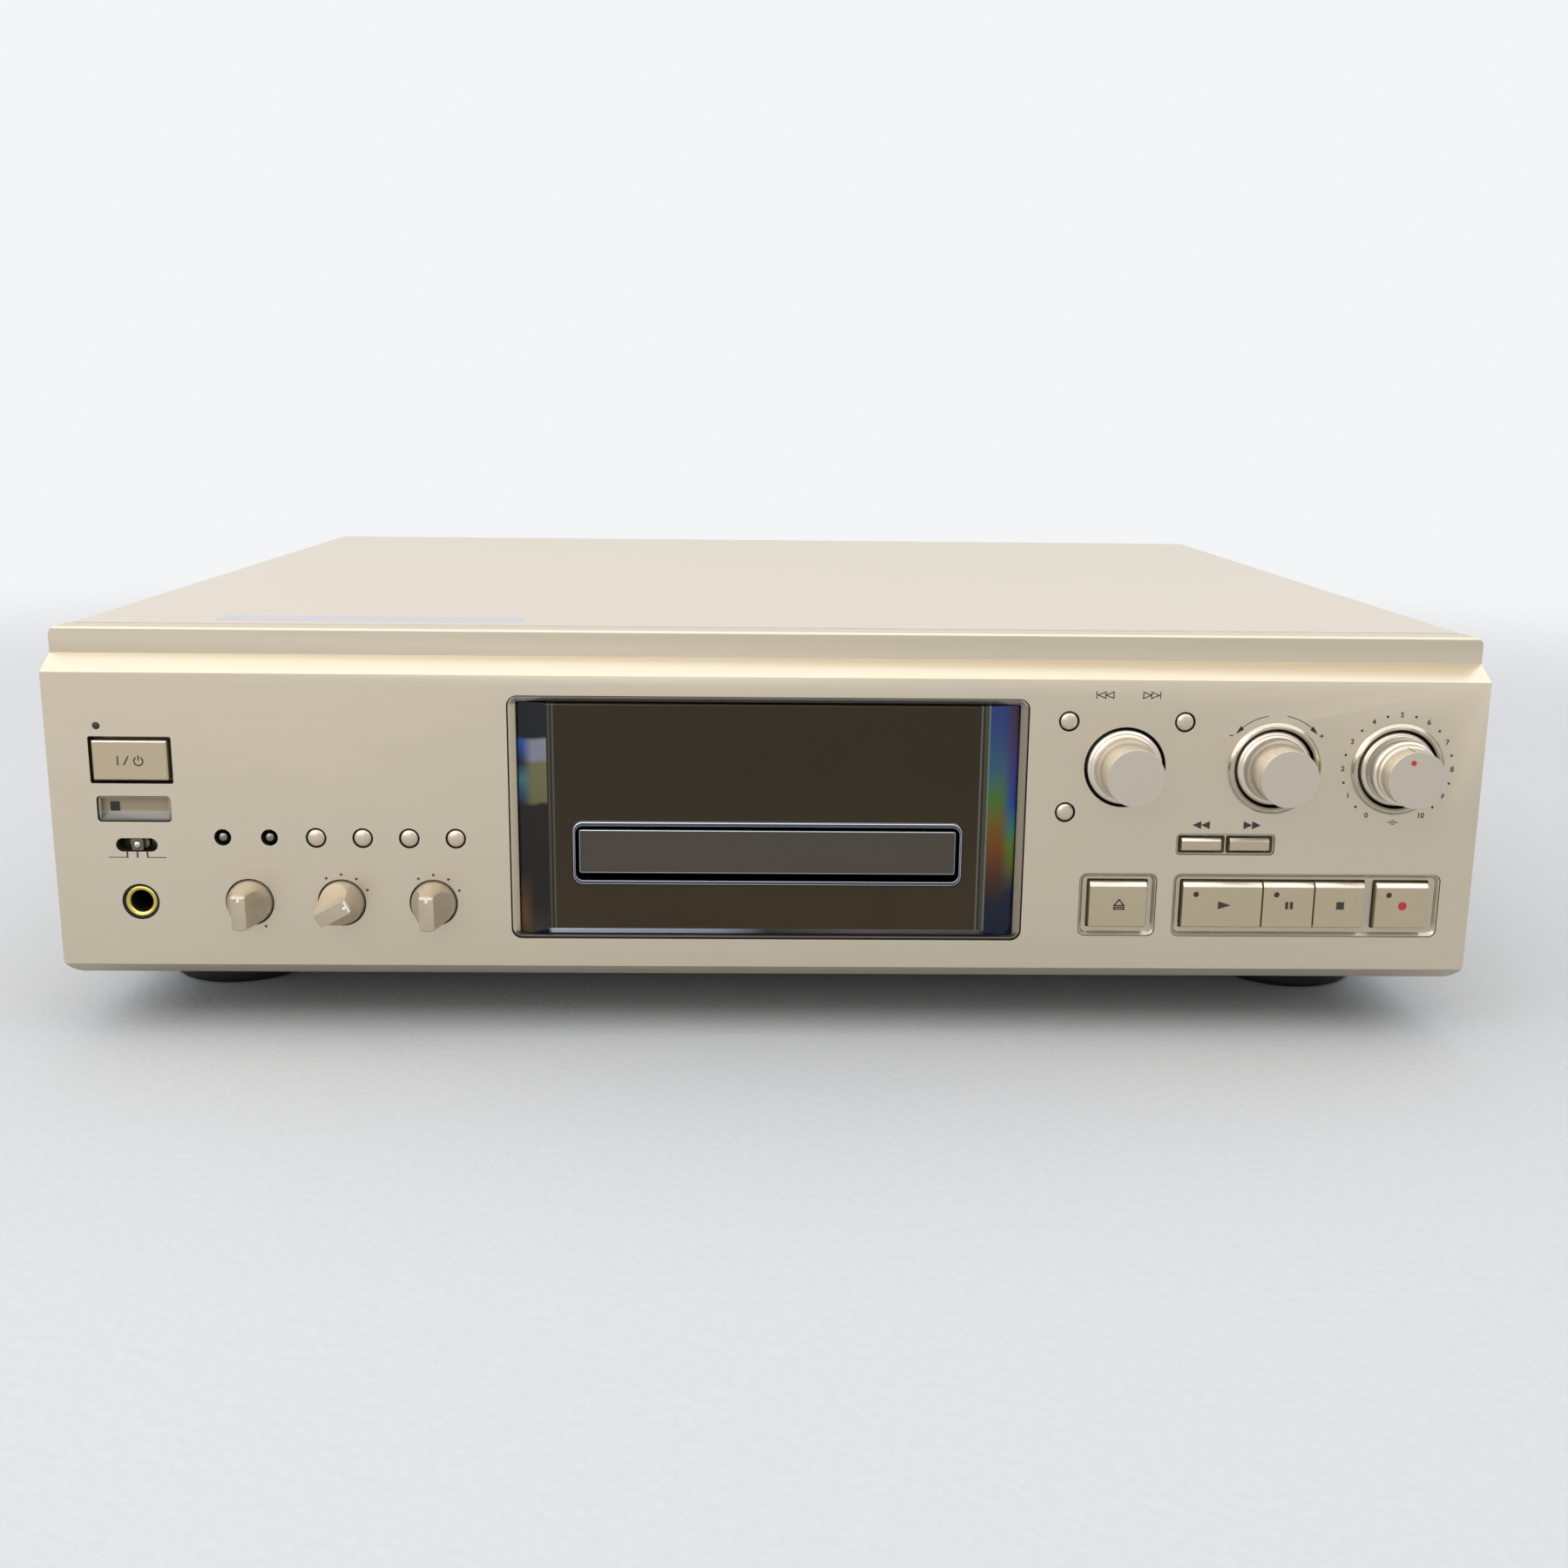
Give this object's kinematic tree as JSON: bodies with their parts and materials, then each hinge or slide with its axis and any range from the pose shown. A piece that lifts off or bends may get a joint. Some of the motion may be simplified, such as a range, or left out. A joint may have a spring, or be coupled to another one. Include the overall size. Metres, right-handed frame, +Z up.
{
  "type": "minidisc deck",
  "caption": "Full-width minidisc recorder deck: motorised disc tray behind a smoked glass block, push keys, pointer and level knobs, slide switch, sockets at the back.",
  "frame": {"origin": "on the floor, below the middle of the bounding box", "axes": "+X to the right seen from the front, +Y towards the back, +Z up"},
  "size_m": [0.43, 0.3878, 0.125],
  "materials": {
    "champagne_aluminium": "satin anodised",
    "champagne_paint": "satin enamel",
    "zinc_steel": "zinc plated sheet",
    "knob_aluminium": "turned and anodised",
    "key_champagne": "satin metallic paint",
    "bezel_champagne": "satin metallic paint",
    "black_plastic": "fine grain",
    "grey_plastic": "moulded",
    "white_plastic": "acetal",
    "smoked_block": "polished, smoked",
    "smoked_lens": "polished",
    "gloss_door": "high gloss",
    "bezel_metal": "polished",
    "gold": "gold plated",
    "circuit_board": "lacquered laminate",
    "display_glass": "glass envelope",
    "motor_steel": "plated can",
    "iron_core": "laminated, varnished",
    "black_aluminium": "black anodised",
    "plated_brass": "plated",
    "screw_steel": "plated",
    "rubber": "moulded"
  },
  "bodies": {
    "deck": {"fascia": "champagne_aluminium", "sub_panel": "black_plastic", "window_frame": "bezel_champagne", "window_block": "smoked_block", "tray_bezel": "bezel_metal", "key_bezels": "bezel_champagne", "level_rings": "knob_aluminium", "ir_window": "smoked_lens", "phones_jack": "black_plastic", "phones_ring": "gold", "front_board": "circuit_board", "panel_controls": "grey_plastic", "display_tube": "display_glass", "chassis": "zinc_steel", "rear_panel": "champagne_paint", "top_cover": "champagne_paint", "mechanism_frame": "black_plastic", "drive_motors": "motor_steel", "transformer": "iron_core", "power_board": "circuit_board", "heat_sink": "black_aluminium", "main_board": "circuit_board", "jack_blocks": "black_plastic", "jack_shells": "plated_brass", "ac_inlet": "black_plastic", "feet": "rubber", "case_screws": "screw_steel"},
    "tray": {"tray": "black_plastic", "tray_door": "gloss_door"},
    "power_key": {"power_key": "key_champagne"},
    "timer_lever": {"timer_lever": "black_plastic"},
    "filter_button": {"filter_button": "knob_aluminium"},
    "edit_button": {"edit_button": "knob_aluminium"},
    "play_mode_button": {"play_mode_button": "knob_aluminium"},
    "repeat_button": {"repeat_button": "knob_aluminium"},
    "time_button": {"time_button": "knob_aluminium"},
    "display_button": {"display_button": "knob_aluminium"},
    "menu_button": {"menu_button": "knob_aluminium"},
    "yes_button": {"yes_button": "knob_aluminium"},
    "clear_button": {"clear_button": "knob_aluminium"},
    "eject_key": {"eject_key": "key_champagne"},
    "play_key": {"play_key": "key_champagne"},
    "pause_key": {"pause_key": "key_champagne"},
    "stop_key": {"stop_key": "key_champagne"},
    "record_key": {"record_key": "key_champagne"},
    "rewind_key": {"rewind_key": "key_champagne"},
    "forward_key": {"forward_key": "key_champagne"},
    "phones_knob": {"phones_knob": "knob_aluminium"},
    "input_knob": {"input_knob": "knob_aluminium"},
    "mode_knob": {"mode_knob": "knob_aluminium"},
    "jog_knob": {"jog_knob": "knob_aluminium"},
    "jog_plunger": {"jog_plunger": "white_plastic"},
    "level_knob": {"level_knob": "knob_aluminium"},
    "balance_knob": {"balance_knob": "knob_aluminium"},
    "analog_knob": {"analog_knob": "knob_aluminium"},
    "loading_gear": {"loading_gear": "white_plastic"},
    "motor_gear": {"motor_gear": "white_plastic"},
    "spindle": {"spindle": "motor_steel"},
    "sled": {"sled": "motor_steel"},
    "sled_screw": {"sled_screw": "motor_steel"}
  },
  "joints": [
    {"name": "power_key_press", "type": "slide", "parent": "deck", "child": "power_key", "axis": [0, 1, 0], "range_m": [0, 0.0012], "stiffness_N_per_m": 250, "springref_m": -0.004},
    {"name": "filter_button_press", "type": "slide", "parent": "deck", "child": "filter_button", "axis": [0, 1, 0], "range_m": [0, 0.0012], "stiffness_N_per_m": 250, "springref_m": -0.004},
    {"name": "edit_button_press", "type": "slide", "parent": "deck", "child": "edit_button", "axis": [0, 1, 0], "range_m": [0, 0.0012], "stiffness_N_per_m": 250, "springref_m": -0.004},
    {"name": "play_mode_button_press", "type": "slide", "parent": "deck", "child": "play_mode_button", "axis": [0, 1, 0], "range_m": [0, 0.0012], "stiffness_N_per_m": 250, "springref_m": -0.004},
    {"name": "repeat_button_press", "type": "slide", "parent": "deck", "child": "repeat_button", "axis": [0, 1, 0], "range_m": [0, 0.0012], "stiffness_N_per_m": 250, "springref_m": -0.004},
    {"name": "time_button_press", "type": "slide", "parent": "deck", "child": "time_button", "axis": [0, 1, 0], "range_m": [0, 0.0012], "stiffness_N_per_m": 250, "springref_m": -0.004},
    {"name": "display_button_press", "type": "slide", "parent": "deck", "child": "display_button", "axis": [0, 1, 0], "range_m": [0, 0.0012], "stiffness_N_per_m": 250, "springref_m": -0.004},
    {"name": "menu_button_press", "type": "slide", "parent": "deck", "child": "menu_button", "axis": [0, 1, 0], "range_m": [0, 0.0012], "stiffness_N_per_m": 250, "springref_m": -0.004},
    {"name": "yes_button_press", "type": "slide", "parent": "deck", "child": "yes_button", "axis": [0, 1, 0], "range_m": [0, 0.0012], "stiffness_N_per_m": 250, "springref_m": -0.004},
    {"name": "clear_button_press", "type": "slide", "parent": "deck", "child": "clear_button", "axis": [0, 1, 0], "range_m": [0, 0.0012], "stiffness_N_per_m": 250, "springref_m": -0.004},
    {"name": "eject_key_press", "type": "slide", "parent": "deck", "child": "eject_key", "axis": [0, 1, 0], "range_m": [0, 0.0012], "stiffness_N_per_m": 250, "springref_m": -0.004},
    {"name": "play_key_press", "type": "slide", "parent": "deck", "child": "play_key", "axis": [0, 1, 0], "range_m": [0, 0.0012], "stiffness_N_per_m": 250, "springref_m": -0.004},
    {"name": "pause_key_press", "type": "slide", "parent": "deck", "child": "pause_key", "axis": [0, 1, 0], "range_m": [0, 0.0012], "stiffness_N_per_m": 250, "springref_m": -0.004},
    {"name": "stop_key_press", "type": "slide", "parent": "deck", "child": "stop_key", "axis": [0, 1, 0], "range_m": [0, 0.0012], "stiffness_N_per_m": 250, "springref_m": -0.004},
    {"name": "record_key_press", "type": "slide", "parent": "deck", "child": "record_key", "axis": [0, 1, 0], "range_m": [0, 0.0012], "stiffness_N_per_m": 250, "springref_m": -0.004},
    {"name": "rewind_key_press", "type": "slide", "parent": "deck", "child": "rewind_key", "axis": [0, 1, 0], "range_m": [0, 0.0012], "stiffness_N_per_m": 250, "springref_m": -0.004},
    {"name": "forward_key_press", "type": "slide", "parent": "deck", "child": "forward_key", "axis": [0, 1, 0], "range_m": [0, 0.0012], "stiffness_N_per_m": 250, "springref_m": -0.004},
    {"name": "timer_slide", "type": "slide", "parent": "deck", "child": "timer_lever", "axis": [1, 0, 0], "range_m": [-0.003, 0.003]},
    {"name": "phones_turn", "type": "hinge", "parent": "deck", "child": "phones_knob", "pos_m": [-0.1575, -0.1779, 0.0425], "axis": [0, 1, 0], "range_deg": [-150, 150]},
    {"name": "input_turn", "type": "hinge", "parent": "deck", "child": "input_knob", "pos_m": [-0.12975, -0.1779, 0.0425], "axis": [0, 1, 0], "range_deg": [-93, 0]},
    {"name": "mode_turn", "type": "hinge", "parent": "deck", "child": "mode_knob", "pos_m": [-0.102, -0.1779, 0.0425], "axis": [0, 1, 0], "range_deg": [-31, 62]},
    {"name": "jog_press", "type": "slide", "parent": "deck", "child": "jog_plunger", "axis": [0, 1, 0], "range_m": [0, 0.0008], "stiffness_N_per_m": 400, "springref_m": -0.004},
    {"name": "jog_turn", "type": "hinge", "parent": "jog_plunger", "child": "jog_knob", "pos_m": [0.10645, -0.1779, 0.08605], "axis": [0, 1, 0], "continuous": true},
    {"name": "level_turn", "type": "hinge", "parent": "deck", "child": "level_knob", "pos_m": [0.1516, -0.1779, 0.08605], "axis": [0, 1, 0], "continuous": true},
    {"name": "balance_turn", "type": "hinge", "parent": "deck", "child": "balance_knob", "pos_m": [0.189, -0.1779, 0.08605], "axis": [0, 1, 0], "range_deg": [-150, 150]},
    {"name": "analog_turn", "type": "hinge", "parent": "deck", "child": "analog_knob", "pos_m": [0.189, -0.1779, 0.08605], "axis": [0, 1, 0], "range_deg": [-150, 150]},
    {"name": "tray_slide", "type": "slide", "parent": "deck", "child": "tray", "axis": [0, -1, 0], "range_m": [0, 0.085]},
    {"name": "loading_gear_spin", "type": "hinge", "parent": "deck", "child": "loading_gear", "pos_m": [-0.0447, -0.1419, 0.05], "axis": [0, 0, 1], "range_deg": [-612, 3]},
    {"name": "motor_gear_spin", "type": "hinge", "parent": "deck", "child": "motor_gear", "pos_m": [-0.0447, -0.1299, 0.05], "axis": [0, 0, 1], "range_deg": [-3, 1222]},
    {"name": "spindle_spin", "type": "hinge", "parent": "deck", "child": "spindle", "pos_m": [-0.0007, -0.1328, 0.048], "axis": [0, 0, 1], "continuous": true},
    {"name": "sled_slide", "type": "slide", "parent": "deck", "child": "sled", "axis": [0, 1, 0], "range_m": [0, 0.02]},
    {"name": "sled_screw_spin", "type": "hinge", "parent": "deck", "child": "sled_screw", "pos_m": [0.0203, -0.0979, 0.05], "axis": [0, 1, 0], "range_deg": [-5, 2405]}
  ],
  "couplings": [
    {"joint": "loading_gear_spin", "follows": "tray_slide", "rad_per_m": -125},
    {"joint": "motor_gear_spin", "follows": "tray_slide", "rad_per_m": 250},
    {"joint": "sled_screw_spin", "follows": "sled_slide", "rad_per_m": 2094.4}
  ]
}
